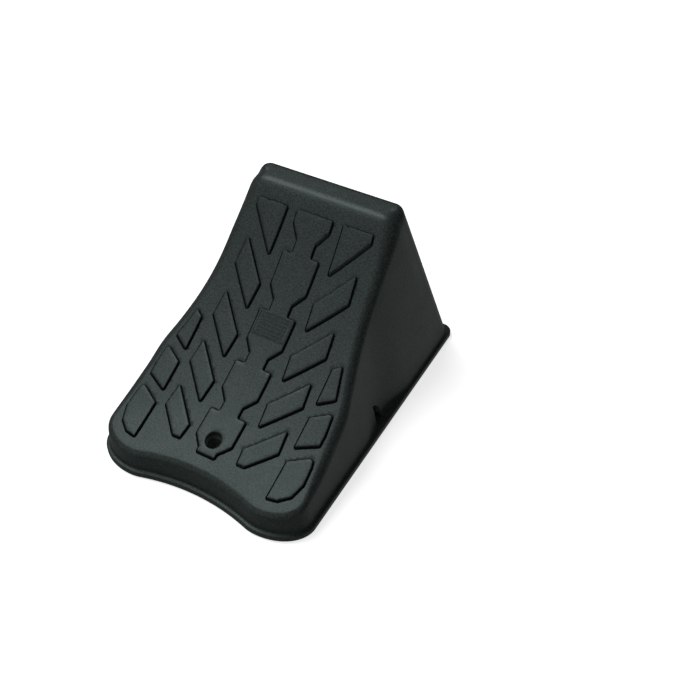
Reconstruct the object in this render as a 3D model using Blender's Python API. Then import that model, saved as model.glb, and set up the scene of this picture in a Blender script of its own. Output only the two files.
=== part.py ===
"""Moulded wheel chock with a concave tyre ramp, and the rubber grip feet pressed into its underside.

Metres, +Z up. The toe points along -Y and the origin is at the centre of the footprint, on the ground.
Inside the functions, y is measured from the front tangent of the toe and z from the flange underside.
"""

import math

import bmesh
import bpy
import numpy as np
from mathutils import Vector

# Overall size
LENGTH = 0.268
WIDTH = 0.190
HEIGHT = 0.157
GROUND_GAP = 0.001  # the rubber feet hold the moulding this far off the ground
WALL = 0.0035

# Tyre ramp: a hollow cylinder across the chock
RAMP_RADIUS = 0.387
RAMP_CENTRE_Y = -0.0962
RAMP_CENTRE_Z = 0.397
TOP_SLOPE = 0.19  # the face behind the ramp still rises a little towards the back edge

# Toe outline: two round lobes joined by a shallow scallop
LOBE_X = 0.058
LOBE_RADIUS = 0.037
LOBE_LENGTH = 0.026  # the outer quarter of a lobe is an ellipse, shorter along the chock than it is wide
SCALLOP_DEPTH = 0.0081

# Foot flange
FLANGE_THICKNESS = 0.0053
FLANGE_EDGE = 0.0008
FLANGE_REAR_RADIUS = 0.009

# Foot of the walls, where they stand on the flange
FOOT_INSET = 0.003
FOOT_BACK_Y = 0.2665
FOOT_REAR_RADIUS = 0.013
WAIST_Y = 0.149
WAIST_HALF_LENGTH = 0.039
WAIST_DEPTH = 0.005

# Upper edge, where the walls would meet the ramp if the edge were sharp
EDGE_INSET = 0.0042
EDGE_BACK_Y = 0.2230
EDGE_REAR_RADIUS = 0.0095
EDGE_HALF_WIDTHS = (  # (y, half width), joined by a smooth curve
    (0.030, 0.0896),
    (0.050, 0.0890),
    (0.072, 0.0868),
    (0.092, 0.0848),
    (0.110, 0.0792),
    (0.130, 0.0738),
    (0.155, 0.0692),
    (0.180, 0.0675),
    (0.200, 0.0663),
    (0.214, 0.0645),
)

# Rounding of the upper edge: how far it reaches from the sharp edge, on the wall and on the ramp
ROUND_TOE = 0.004
ROUND_SIDE = 0.0075
ROUND_SHOULDER = 0.0125
ROUND_BACK = 0.0035
ROUND_FULLNESS = 0.7
TOE_EASE = (0.015, 0.055)  # where along the chock the rounding grows or shrinks
SHOULDER_EASE = (0.172, 0.2032)
BACK_EASE = (0.209, 0.2225)

# The same inside the moulding
INNER_ROUND_TOE = 0.002
INNER_ROUND_SIDE = 0.003
INNER_ROUND_SHOULDER = 0.007
INNER_ROUND_BACK = 0.0015
INNER_SHOULDER_EASE = (0.175, 0.2005)
INNER_BACK_EASE = (0.205, 0.2155)

# Tread plates on the ramp
PLATE_HEIGHT = 0.0018
PLATE_ROOT = 0.0012
PLATE_CORNER = 0.0015
PAD_PITCH = 0.0356
PAD_FIRST_Y = 0.0231
PAD_INNER_X = 0.0267
PAD_OUTER_X = 0.0518
PAD_TAPER = 0.0021  # the far corners of a pad sit this much nearer the middle
PAD_RISE = 0.0244
PAD_LENGTH = 0.0175
PAD_TOE_CUT_Y = 0.0290
PAD_LAST_Y = 0.2042  # the far side of the last row of pads, before it is cut at PLATE_END_Y
LINK_PITCH = 0.0375
LINK_FIRST_Y = 0.0209
LINK_START_Y = 0.0254
LINK_FLARE = 0.0168
LINK_NECK = 0.0083
LINK_HALF_WIDTH = 0.0161
ROW_COUNT = 5
PLATE_END_Y = 0.1942

# Rope and stake openings
HOLE_Y = 0.0373
HOLE_RADIUS = 0.0063
SLOT_REAR_Y = 0.1440
SLOT_FRONT_Y = 0.1170
SLOT_INNER_X = 0.0815
SLOT_OUTER_X = 0.0925
SLOT_FLOOR = 0.0050
SLOT_SPRING = 0.0105
SLOT_HEIGHT = 0.0250
SLOT_INNER_SPREAD = 0.12
SLOT_INNER_LIFT = 0.35
PASSAGE_YS = (0.1345, 0.1405)
PASSAGE_XS = (0.078, 0.0895)
PASSAGE_FLOOR = 0.0051
PASSAGE_HEIGHT = 0.016
BACKING_YS = (0.1405, 0.1465)
BACKING_XS = (0.0800, 0.0845)
BACKING_HEIGHT = 0.0165
CUT_BELOW = 0.01

# Ribs under the ramp
RIB_THICKNESS = 0.0025
RIB_X = 0.028
RIB_YS = (0.0635, 0.1550)
RIB_LIFT = 0.0005

# Rubber grip feet
FEET = {"toe": (0.060, 0.0150), "mid": (0.028, 0.111), "rear": (0.072, 0.2545)}
SOCKET_RADIUS = 0.007
SOCKET_DEPTH = 0.003
CUP_RADIUS = 0.0095
CUP_HEIGHT = 0.007
FIT_GAP = 0.0003
FOOT_CHAMFER = 0.0006
DIMPLE_RADIUS = 0.003
DIMPLE_DEPTH = 0.0006

# Segments along the outline, from the middle of the toe to the middle of the back
SCALLOP_STEPS = 2
TANGENT_STEPS = 1
LOBE_STEPS = 3
REAR_STEPS = 2
ROUND_STEPS = 3
ARCH_STEPS = 8
CREASE_Y = 0.2046  # where the ramp reaches the top face
LAST_SIDE_Y = EDGE_BACK_Y - EDGE_REAR_RADIUS
SIDE_YS = [LOBE_LENGTH + 0.0136 * step for step in range(1, 13)] + [0.1970, CREASE_Y, LAST_SIDE_Y]
STRETCH_FROM_Y = 0.060
PLATE_ROW = 0.0105


def smooth(value, low, high):
    """0 below low, 1 above high, eased between them."""
    t = np.clip((value - low) / (high - low), 0, 1)
    return t * t * (3 - 2 * t)


def top_z(y, depth=0.0):
    """Height of the ramp and the top face, or of a surface that far beneath them."""
    reach = np.clip(y - RAMP_CENTRE_Y, 0, RAMP_RADIUS * 0.99)
    ramp = RAMP_CENTRE_Z - np.sqrt((RAMP_RADIUS + depth) ** 2 - reach**2)
    face = HEIGHT - TOP_SLOPE * (EDGE_BACK_Y - y) - depth
    return np.minimum(ramp, face)


def foot_side(y):
    waist = np.clip((y - WAIST_Y) / WAIST_HALF_LENGTH, -1, 1)
    return WIDTH / 2 - FOOT_INSET - WAIST_DEPTH * np.cos(waist * math.pi / 2) ** 2


def edge_side(y):
    """Half the width of the upper edge, as a Hermite curve through the stated widths."""
    ys, widths = (np.array(column) for column in zip(*EDGE_HALF_WIDTHS))
    slopes = np.gradient(widths, ys)
    slopes[0] = 0
    y = np.clip(y, ys[0], ys[-1])
    spot = np.clip(np.searchsorted(ys, y) - 1, 0, len(ys) - 2)
    span = ys[spot + 1] - ys[spot]
    t = (y - ys[spot]) / span
    return (
        widths[spot] * (1 + 2 * t) * (1 - t) ** 2
        + widths[spot + 1] * t * t * (3 - 2 * t)
        + span * slopes[spot] * t * (1 - t) ** 2
        - span * slopes[spot + 1] * t * t * (1 - t)
    )


def outline(inset, side_x, rear_radius, back_y):
    """A closed outline in plan, anticlockwise from the middle of the toe.

    Every outline has the same number of points, and points of the same index belong to one line
    up the wall. Returns the points and the indices of the front and rear corners on the right.
    """
    lobe = LOBE_RADIUS - inset
    drop = LOBE_RADIUS - SCALLOP_DEPTH
    full_scallop = (LOBE_X**2 + drop**2 - LOBE_RADIUS**2) / (2 * (LOBE_RADIUS - drop))
    centre_y = SCALLOP_DEPTH - full_scallop
    scallop = full_scallop + inset
    tangent = math.atan2(LOBE_X, LOBE_RADIUS - centre_y)

    half = []
    for step in range(SCALLOP_STEPS):
        angle = tangent * step / SCALLOP_STEPS
        half.append((scallop * math.sin(angle), centre_y + scallop * math.cos(angle)))
    for step in range(TANGENT_STEPS):
        angle = tangent * (step / TANGENT_STEPS - 1)
        half.append((LOBE_X + lobe * math.sin(angle), LOBE_RADIUS - lobe * math.cos(angle)))
    wide = float(side_x(LOBE_LENGTH)) - LOBE_X
    long = LOBE_LENGTH - inset
    for step in range(2 * LOBE_STEPS + 1):
        angle = math.pi / 4 * step / LOBE_STEPS
        half.append((LOBE_X + wide * math.sin(angle), LOBE_LENGTH - long * math.cos(angle)))
    front = SCALLOP_STEPS + TANGENT_STEPS + LOBE_STEPS

    rear_y = back_y - rear_radius
    stretch = rear_y - LAST_SIDE_Y
    for station in SIDE_YS:
        share = max(0.0, (station - STRETCH_FROM_Y) / (LAST_SIDE_Y - STRETCH_FROM_Y)) ** 2
        y = station + stretch * share
        half.append((float(side_x(y)), y))
    rear_x = float(side_x(rear_y)) - rear_radius
    for step in range(1, REAR_STEPS + 1):
        angle = math.pi / 4 * step / REAR_STEPS
        half.append((rear_x + rear_radius * math.cos(angle), rear_y + rear_radius * math.sin(angle)))
    rear = len(half) - 1

    corner_x = half[rear][0]
    for index in range(front - 1, -1, -1):
        x = corner_x * half[index][0] / half[front][0]
        past = max(0.0, x - rear_x)
        half.append((x, rear_y + math.sqrt(rear_radius**2 - past**2)))

    mirrored = [(-x, y) for x, y in reversed(half[1:-1])]
    return np.array(half + mirrored), front, rear


def inward(points):
    """Unit normals in plan, pointing into the outline."""
    along = np.roll(points, -1, axis=0) - np.roll(points, 1, axis=0)
    along /= np.linalg.norm(along, axis=1)[:, None]
    return np.column_stack([-along[:, 1], along[:, 0]])


def with_z(points, z):
    return np.column_stack([points, np.broadcast_to(z, len(points))])


def rounded_rings(foot, edge, depth, reach_of, steps):
    """Rings that carry a wall from its foot ring over a rounded upper edge, ending on the top."""
    down = foot - edge
    down /= np.linalg.norm(down, axis=1)[:, None]
    reach = reach_of(edge[:, 1])[:, None]
    start = edge + down * reach
    crown = edge[:, :2] + inward(edge[:, :2]) * reach
    crown = with_z(crown, top_z(crown[:, 1], depth))
    rings = []
    for step in range(steps + 1):
        t = step / steps
        weights = ((1 - t) ** 2, 2 * ROUND_FULLNESS * t * (1 - t), t**2)
        total = sum(weights)
        rings.append((weights[0] * start + weights[1] * edge + weights[2] * crown) / total)
    return rings


def outer_reach(y):
    side = ROUND_TOE + (ROUND_SIDE - ROUND_TOE) * smooth(y, *TOE_EASE)
    side = side + (ROUND_SHOULDER - ROUND_SIDE) * smooth(y, *SHOULDER_EASE)
    return side + (ROUND_BACK - side) * smooth(y, *BACK_EASE)


def inner_reach(y):
    side = INNER_ROUND_TOE + (INNER_ROUND_SIDE - INNER_ROUND_TOE) * smooth(y, *TOE_EASE)
    side = side + (INNER_ROUND_SHOULDER - INNER_ROUND_SIDE) * smooth(y, *INNER_SHOULDER_EASE)
    return side + (INNER_ROUND_BACK - side) * smooth(y, *INNER_BACK_EASE)


def top_grid(crown, front, rear, depth):
    """Rows of points that fill the top inside the crown ring, from the toe to the back."""
    count = len(crown)
    toe = [crown[index % count] for index in range(-front, front + 1)]
    back = [crown[count - rear + index] for index in range(0, -(count - 2 * rear) - 1, -1)]
    right = [crown[index] for index in range(front, rear + 1)]
    left = [crown[count - index] for index in range(front, rear + 1)]
    first, last = right[0][1], right[-1][1]
    share = np.array([(point[0] - toe[0][0]) / (toe[-1][0] - toe[0][0]) for point in toe])
    rows = []
    for near, far in zip(left, right):
        v = (far[1] - first) / (last - first)
        toe_pull = (1 - v) ** 3
        back_pull = float(smooth(far[1], CREASE_Y, last))
        row = []
        for column, u in enumerate(share):
            flat = near * (1 - u) + far * u
            toe_line = toe[0] * (1 - u) + toe[-1] * u
            back_line = back[0] * (1 - u) + back[-1] * u
            point = flat + toe_pull * (toe[column] - toe_line) + back_pull * (back[column] - back_line)
            row.append((point[0], point[1], float(top_z(point[1], depth))))
        rows.append(row)
    return rows


def add_ring(mesh, points):
    return [mesh.verts.new(point) for point in points]


def bridge(mesh, lower, upper, outward=True):
    """Quads between two rings of equal count."""
    count = len(lower)
    for index in range(count):
        after = (index + 1) % count
        corners = (lower[index], lower[after], upper[after], upper[index])
        mesh.faces.new(corners if outward else corners[::-1])


def cap_top(mesh, ring, rows, front, rear, outward=True):
    """Fills a ring with its grid, using the ring's own vertices along the border."""
    count = len(ring)
    grid = []
    for r, row in enumerate(rows):
        line = []
        for c, point in enumerate(row):
            if r == 0:
                line.append(ring[(c - front) % count])
            elif r == len(rows) - 1:
                line.append(ring[count - rear - c])
            elif c == 0:
                line.append(ring[count - front - r])
            elif c == len(row) - 1:
                line.append(ring[front + r])
            else:
                line.append(mesh.verts.new(point))
        grid.append(line)
    for r in range(len(grid) - 1):
        for c in range(len(grid[0]) - 1):
            corners = (grid[r][c], grid[r][c + 1], grid[r + 1][c + 1], grid[r + 1][c])
            mesh.faces.new(corners if outward else corners[::-1])


def mesh_object(name, mesh):
    """Turns a bmesh into an object."""
    bmesh.ops.recalc_face_normals(mesh, faces=mesh.faces)
    data = bpy.data.meshes.new(name)
    mesh.to_mesh(data)
    mesh.free()
    made = bpy.data.objects.new(name, data)
    bpy.context.scene.collection.objects.link(made)
    return made


def helper(made):
    """Marks an object as a construction helper."""
    made.hide_render = True
    made.display_type = "WIRE"
    return made


def wall_solid(name, inset):
    """The solid inside the walls and the top at some depth, used to trim the ribs."""
    foot, front, rear = outline(
        FOOT_INSET + inset, lambda y: foot_side(y) - inset, FOOT_REAR_RADIUS - inset, FOOT_BACK_Y - inset
    )
    edge, _, _ = outline(
        EDGE_INSET + inset, lambda y: edge_side(y) - inset, EDGE_REAR_RADIUS - inset, EDGE_BACK_Y - inset
    )
    foot_ring = with_z(foot, RIB_LIFT)
    edge_ring = with_z(edge, top_z(edge[:, 1], inset))
    rings = rounded_rings(foot_ring, edge_ring, inset, inner_reach, 1)
    mesh = bmesh.new()
    verts = [add_ring(mesh, ring) for ring in [foot_ring, *rings]]
    for lower, upper in zip(verts, verts[1:]):
        bridge(mesh, lower, upper)
    cap_top(mesh, verts[-1], top_grid(rings[-1], front, rear, inset), front, rear)
    mesh.faces.new(verts[0][::-1])
    return mesh_object(name, mesh)


def shell_body():
    """The hollow moulding without its ribs, plates and openings."""
    low, front, rear = outline(0, lambda y: WIDTH / 2 + 0 * y, FLANGE_REAR_RADIUS, LENGTH)
    foot, _, _ = outline(FOOT_INSET, foot_side, FOOT_REAR_RADIUS, FOOT_BACK_Y)
    edge, _, _ = outline(EDGE_INSET, edge_side, EDGE_REAR_RADIUS, EDGE_BACK_Y)
    rim, _, _ = outline(
        FOOT_INSET + WALL, lambda y: foot_side(y) - WALL, FOOT_REAR_RADIUS - WALL, FOOT_BACK_Y - WALL
    )
    roof, _, _ = outline(
        EDGE_INSET + WALL, lambda y: edge_side(y) - WALL, EDGE_REAR_RADIUS - WALL, EDGE_BACK_Y - WALL
    )

    foot_ring = with_z(foot, FLANGE_THICKNESS)
    edge_ring = with_z(edge, top_z(edge[:, 1]))
    outer = [
        with_z(low, 0.0),
        with_z(low, FLANGE_THICKNESS - FLANGE_EDGE),
        with_z(low + inward(low) * FLANGE_EDGE, FLANGE_THICKNESS),
        foot_ring,
        *rounded_rings(foot_ring, edge_ring, 0.0, outer_reach, ROUND_STEPS),
    ]
    rim_ring = with_z(rim, 0.0)
    roof_ring = with_z(roof, top_z(roof[:, 1], WALL))
    inner = [rim_ring, *rounded_rings(rim_ring, roof_ring, WALL, inner_reach, 1)]

    mesh = bmesh.new()
    outer_verts = [add_ring(mesh, ring) for ring in outer]
    inner_verts = [add_ring(mesh, ring) for ring in inner]
    for lower, upper in zip(outer_verts, outer_verts[1:]):
        bridge(mesh, lower, upper)
    for lower, upper in zip(inner_verts, inner_verts[1:]):
        bridge(mesh, lower, upper, outward=False)
    bridge(mesh, outer_verts[0], inner_verts[0], outward=False)
    cap_top(mesh, outer_verts[-1], top_grid(outer[-1], front, rear, 0.0), front, rear)
    cap_top(mesh, inner_verts[-1], top_grid(inner[-1], front, rear, WALL), front, rear, outward=False)
    return mesh_object("chock_shell", mesh)


def prism(name, points, low, high):
    """An upright prism on a plan outline."""
    mesh = bmesh.new()
    base = mesh.faces.new([mesh.verts.new((x, y, low)) for x, y in points])
    grown = bmesh.ops.extrude_face_region(mesh, geom=[base])
    moved = [item for item in grown["geom"] if isinstance(item, bmesh.types.BMVert)]
    bmesh.ops.translate(mesh, verts=moved, vec=(0, 0, high - low))
    return helper(mesh_object(name, mesh))


def box(name, low, high):
    plan = [(low[0], low[1]), (high[0], low[1]), (high[0], high[1]), (low[0], high[1])]
    return prism(name, plan, low[2], high[2])


def cylinder(name, x, y, radius, low, high, segments=32):
    mesh = bmesh.new()
    bmesh.ops.create_cone(
        mesh, cap_ends=True, segments=segments, radius1=radius, radius2=radius, depth=high - low
    )
    bmesh.ops.translate(mesh, verts=mesh.verts, vec=(x, y, (low + high) / 2))
    return helper(mesh_object(name, mesh))


def clipped(points, keep_above, y_limit):
    """The part of a convex plan outline on one side of a line across the chock."""
    side = 1 if keep_above else -1
    kept = []
    for start, end in zip(points, points[1:] + points[:1]):
        start_in = side * (start[1] - y_limit) >= 0
        end_in = side * (end[1] - y_limit) >= 0
        if start_in:
            kept.append(start)
        if start_in != end_in:
            t = (y_limit - start[1]) / (end[1] - start[1])
            kept.append((start[0] + t * (end[0] - start[0]), y_limit))
    return kept


def softened(points, radius, steps=2):
    """The outline with each corner replaced by a short arc."""
    result = []
    for before, corner, after in zip(points[-1:] + points[:-1], points, points[1:] + points[:1]):
        corner = Vector(corner)
        to_before = Vector(before) - corner
        to_after = Vector(after) - corner
        reach = min(radius, 0.4 * to_before.length, 0.4 * to_after.length)
        start = corner + to_before.normalized() * reach
        end = corner + to_after.normalized() * reach
        for step in range(steps + 1):
            t = step / steps
            point = start * (1 - t) ** 2 + corner * 2 * t * (1 - t) + end * t**2
            result.append((point.x, point.y))
    return result


def plate(name, points):
    """A tread plate: a slab that follows the ramp beneath a plan outline."""
    points = softened(points, PLATE_CORNER)
    mesh = bmesh.new()
    mesh.faces.new([mesh.verts.new((x, y, 0)) for x, y in points])
    low = min(y for _, y in points)
    high = max(y for _, y in points)
    row = math.ceil(low / PLATE_ROW) * PLATE_ROW
    while row < high - 0.001:
        if row > low + 0.001:
            everything = mesh.verts[:] + mesh.edges[:] + mesh.faces[:]
            bmesh.ops.bisect_plane(mesh, geom=everything, plane_co=(0, row, 0), plane_no=(0, 1, 0))
        row += PLATE_ROW
    bmesh.ops.triangulate(mesh, faces=mesh.faces)
    for vert in mesh.verts:
        vert.co.z = float(top_z(vert.co.y)) - PLATE_ROOT
    grown = bmesh.ops.extrude_face_region(mesh, geom=mesh.faces[:])
    for item in grown["geom"]:
        if isinstance(item, bmesh.types.BMVert):
            slope = (item.co.y - RAMP_CENTRE_Y) / RAMP_RADIUS
            item.co.z = float(top_z(item.co.y)) + PLATE_HEIGHT / math.sqrt(1 - slope**2)
    return helper(mesh_object(name, mesh))


def pad_outline(row):
    """One slanted pad of the rows on either side of the middle."""
    y = PAD_FIRST_Y + PAD_PITCH * row
    inner = (PAD_INNER_X, y)
    outer = (PAD_OUTER_X, y + PAD_RISE)
    far_outer = (PAD_OUTER_X - PAD_TAPER, y + PAD_RISE + PAD_LENGTH)
    far_inner = (PAD_INNER_X - PAD_TAPER, y + PAD_LENGTH)
    if row == 0:
        return clipped([inner, outer, far_outer, far_inner], True, PAD_TOE_CUT_Y)
    if row == ROW_COUNT - 1:
        beyond = [(corner[0], PAD_LAST_Y) for corner in (far_outer, far_inner)]
        return clipped([inner, outer, *beyond], False, PLATE_END_Y)
    return [inner, outer, far_outer, far_inner]


def link_outline():
    """The chain of plates down the middle, each running into the next through a narrow neck."""
    right = [(LINK_NECK, LINK_START_Y)]
    for row in range(ROW_COUNT):
        y = LINK_FIRST_Y + LINK_PITCH * row
        right.append((LINK_NECK, y + LINK_NECK))
        right.append((LINK_HALF_WIDTH, y + LINK_FLARE))
        if row < ROW_COUNT - 1:
            right.append((LINK_HALF_WIDTH, y + LINK_PITCH))
            right.append((LINK_NECK, y + LINK_PITCH))
    right.append((LINK_HALF_WIDTH, PLATE_END_Y))
    return right + [(-x, y) for x, y in reversed(right)]


def shoulder_outlines():
    """The short plates on the widening shoulders of the ramp, near the toe."""
    return [
        [
            (0.060, 0.0158), (0.069, 0.0174), (0.0771, 0.0238), (0.0808, 0.0351),
            (0.0799, 0.0478), (0.0787, 0.0526), (0.076, 0.0538), (0.060, 0.0452),
        ],
        [
            (0.060, 0.0559), (0.0776, 0.0640), (0.0779, 0.0722), (0.0763, 0.0855),
            (0.0735, 0.0861), (0.060, 0.0789),
        ],
        [(0.060, 0.0889), (0.0731, 0.0962), (0.0668, 0.1180), (0.060, 0.1138)],
    ]


def mirrored(points):
    return [(-x, y) for x, y in reversed(points)]


def combine(body, operation, others):
    """Adds one exact Boolean between a body and a set of helpers."""
    group = bpy.data.collections.new(operation.lower() + "_" + body.name)
    for other in others:
        group.objects.link(other)
    step = body.modifiers.new(operation.title(), "BOOLEAN")
    step.operation = operation
    step.solver = "EXACT"
    step.operand_type = "COLLECTION"
    step.collection = group


def settle(body, helpers):
    """Makes the modified mesh permanent and removes the helpers."""
    bpy.context.view_layer.update()
    graph = bpy.context.evaluated_depsgraph_get()
    data = bpy.data.meshes.new_from_object(body.evaluated_get(graph))
    body.modifiers.clear()
    body.data = data
    for other in helpers:
        bpy.data.objects.remove(other, do_unlink=True)


def rib_lattice():
    """The ribs under the ramp, trimmed to the middle of the walls and of the top."""
    half = RIB_THICKNESS / 2
    ribs = []
    for side in (-1, 1):
        x = side * RIB_X
        ribs.append(box("rib_along", (x - half, -0.01, -0.01), (x + half, LENGTH + 0.01, 0.2)))
    for y in RIB_YS:
        ribs.append(box("rib_across", (-WIDTH, y - half, -0.01), (WIDTH, y + half, 0.2)))
    lattice = ribs.pop(0)
    combine(lattice, "UNION", ribs)
    settle(lattice, ribs)
    core = helper(wall_solid("rib_trim", WALL / 2))
    combine(lattice, "INTERSECT", [core])
    settle(lattice, [core])
    return lattice


def foot_places():
    """The centres of the six feet, by name."""
    places = {}
    for row, (x, y) in FEET.items():
        places["grip_foot_" + row + "_left"] = (-x, y)
        places["grip_foot_" + row + "_right"] = (x, y)
    return places


def tread_plates():
    plates = [plate("tread_link", link_outline())]
    sides = [pad_outline(row) for row in range(ROW_COUNT)] + shoulder_outlines()
    for points in sides:
        plates.append(plate("tread_pad", points))
        plates.append(plate("tread_pad", mirrored(points)))
    return plates


def arch_outline(spread, lift):
    """(y, z) outline of a rope slot's arch, drawn in towards its rear edge and its springing line."""
    middle = (SLOT_FRONT_Y + SLOT_REAR_Y) / 2
    half = (SLOT_REAR_Y - SLOT_FRONT_Y) / 2
    rise = SLOT_HEIGHT - SLOT_SPRING
    points = [(SLOT_REAR_Y, SLOT_FLOOR)]
    for step in range(ARCH_STEPS + 1):
        angle = math.pi * step / ARCH_STEPS
        y = middle + half * math.cos(angle)
        points.append((y, SLOT_SPRING + rise * lift * math.sin(angle)))
    points.append((SLOT_FRONT_Y, SLOT_FLOOR))
    return [(SLOT_REAR_Y - (SLOT_REAR_Y - y) * spread, z) for y, z in points]


def rope_scoop(side):
    """An arched recess in one wall, deepest at its rear edge."""
    mesh = bmesh.new()
    outer = arch_outline(1, 1)
    inner = arch_outline(SLOT_INNER_SPREAD, SLOT_INNER_LIFT)
    outer_verts = add_ring(mesh, [(side * SLOT_OUTER_X, y, z) for y, z in outer])
    inner_verts = add_ring(mesh, [(side * SLOT_INNER_X, y, z) for y, z in inner])
    bridge(mesh, outer_verts, inner_verts)
    mesh.faces.new(outer_verts)
    mesh.faces.new(inner_verts)
    return helper(mesh_object("rope_scoop", mesh))


def side_box(name, side, xs, ys, low, high):
    """A box beside one wall, from its extents on the right."""
    left, right = sorted((side * xs[0], side * xs[1]))
    return box(name, (left, ys[0], low), (right, ys[1], high))


def cutters():
    """The toe hole, the rope slots, and the sockets of the feet."""
    cuts = [cylinder("toe_hole", 0, HOLE_Y, HOLE_RADIUS, -CUT_BELOW, 0.1)]
    for side in (-1, 1):
        cuts.append(rope_scoop(side))
        cuts.append(side_box("rope_passage", side, PASSAGE_XS, PASSAGE_YS, PASSAGE_FLOOR, PASSAGE_HEIGHT))
    for x, y in foot_places().values():
        cuts.append(cylinder("socket", x, y, SOCKET_RADIUS, -CUT_BELOW, SOCKET_DEPTH))
    return cuts


def bosses():
    """The cups of the feet, and the backing of the rope slots."""
    made = []
    for x, y in foot_places().values():
        made.append(cylinder("foot_cup", x, y, CUP_RADIUS, 0, CUP_HEIGHT))
    for side in (-1, 1):
        made.append(side_box("slot_backing", side, BACKING_XS, BACKING_YS, RIB_LIFT, BACKING_HEIGHT))
    return made


def chock_shell():
    body = shell_body()
    added = [rib_lattice(), *bosses(), *tread_plates()]
    removed = cutters()
    combine(body, "UNION", added)
    combine(body, "DIFFERENCE", removed)
    settle(body, added + removed)
    return body


def grip_foot(name, x, y):
    """A turned rubber disc, chamfered where it meets the ground, with a dimple in the middle."""
    radius = SOCKET_RADIUS - FIT_GAP
    top = SOCKET_DEPTH - FIT_GAP
    low = -GROUND_GAP
    profile = [
        (0, low + DIMPLE_DEPTH),
        (DIMPLE_RADIUS - DIMPLE_DEPTH, low + DIMPLE_DEPTH),
        (DIMPLE_RADIUS, low),
        (radius - FOOT_CHAMFER, low),
        (radius, low + FOOT_CHAMFER),
        (radius, top),
        (0, top),
    ]
    mesh = bmesh.new()
    verts = [mesh.verts.new((r, 0, z)) for r, z in profile]
    edges = [mesh.edges.new(pair) for pair in zip(verts, verts[1:])]
    bmesh.ops.spin(
        mesh, geom=verts + edges, axis=(0, 0, 1), cent=(0, 0, 0), angle=2 * math.pi, steps=24
    )
    bmesh.ops.remove_doubles(mesh, verts=mesh.verts, dist=1e-6)
    made = mesh_object(name, mesh)
    made.location = (x, y, 0)
    return made


def finish(made, surface, parent, sharp_angle):
    made.data.materials.clear()
    made.data.materials.append(surface)
    made.data.shade_smooth()
    made.data.set_sharp_from_angle(angle=math.radians(sharp_angle))
    made.parent = parent


def principled(name, colour, roughness):
    surface = bpy.data.materials.new(name)
    surface.use_nodes = True
    shader = surface.node_tree.nodes["Principled BSDF"]
    shader.inputs["Base Color"].default_value = (*colour, 1)
    shader.inputs["Roughness"].default_value = roughness
    shader.inputs["Metallic"].default_value = 0
    return surface


for old in list(bpy.data.objects):
    bpy.data.objects.remove(old, do_unlink=True)

datum = bpy.data.objects.new("toe_datum", None)
datum.empty_display_size = 0.02
datum.location = (0, -LENGTH / 2, GROUND_GAP)
bpy.context.scene.collection.objects.link(datum)

shell_plastic = principled("moulded_plastic", (0.045, 0.050, 0.052), 0.5)
foot_rubber = principled("foot_rubber", (0.02, 0.02, 0.02), 0.8)

finish(chock_shell(), shell_plastic, datum, 25)
for foot_name, (foot_x, foot_y) in foot_places().items():
    finish(grip_foot(foot_name, foot_x, foot_y), foot_rubber, datum, 35)
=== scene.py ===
"""The looks of the moulded wheel chock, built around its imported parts.

Metres, +Z up. As in the part's own source, y is measured from the front tangent of the toe and
z from the flange underside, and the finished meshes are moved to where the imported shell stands.
"""

import math

import bmesh
import bpy
import numpy as np
from mathutils import Matrix, Vector
from mathutils.geometry import delaunay_2d_cdt


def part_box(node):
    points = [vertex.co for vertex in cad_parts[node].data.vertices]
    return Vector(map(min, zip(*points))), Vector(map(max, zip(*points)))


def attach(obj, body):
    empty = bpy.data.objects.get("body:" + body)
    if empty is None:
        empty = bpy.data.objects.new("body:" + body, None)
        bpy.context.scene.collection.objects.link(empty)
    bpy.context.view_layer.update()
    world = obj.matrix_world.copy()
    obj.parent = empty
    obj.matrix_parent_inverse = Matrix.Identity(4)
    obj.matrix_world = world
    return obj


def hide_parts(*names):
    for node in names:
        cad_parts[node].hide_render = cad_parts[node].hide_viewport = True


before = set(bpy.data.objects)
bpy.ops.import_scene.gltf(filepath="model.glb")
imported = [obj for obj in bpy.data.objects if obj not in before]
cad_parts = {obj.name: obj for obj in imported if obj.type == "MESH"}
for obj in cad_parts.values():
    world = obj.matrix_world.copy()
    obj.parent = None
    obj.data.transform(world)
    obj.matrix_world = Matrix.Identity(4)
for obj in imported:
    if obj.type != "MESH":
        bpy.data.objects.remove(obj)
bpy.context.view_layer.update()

shell_low, shell_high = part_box("chock_shell")
TOE_DATUM = Vector((0, shell_low.y, shell_low.z))

# Overall size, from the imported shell
EDGE_FALL = 0.0006  # how far the rounding takes the top edge below the sharp edge
LENGTH = shell_high.y - shell_low.y
WIDTH = shell_high.x - shell_low.x
HEIGHT = shell_high.z - shell_low.z + EDGE_FALL
WALL = 0.0035

# Tyre ramp: a hollow cylinder across the chock, eased into the face behind it
RAMP_RADIUS = 0.387
RAMP_CENTRE_Y = -0.0962
RAMP_CENTRE_Z = 0.397
TOP_SLOPE = 0.19  # the face behind the ramp still rises a little towards the back edge
CREASE_Y = 0.2046
CREASE_EASE = 0.0028

# Toe outline: two round lobes joined by a shallow scallop
LOBE_X = 0.058
LOBE_RADIUS = 0.037
LOBE_LENGTH = 0.026
SCALLOP_DEPTH = 0.0081

# Foot flange and the foot of the walls on it
FLANGE_THICKNESS = 0.0053
FLANGE_EDGE = 0.0011
FLANGE_LOWER_EDGE = 0.0004
FLANGE_REAR_RADIUS = 0.009
FOOT_FILLET = 0.0009
FOOT_INSET = 0.003
FOOT_BACK_Y = 0.2665
FOOT_REAR_RADIUS = 0.013
WAIST_Y = 0.149
WAIST_HALF_LENGTH = 0.039
WAIST_DEPTH = 0.005

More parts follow.
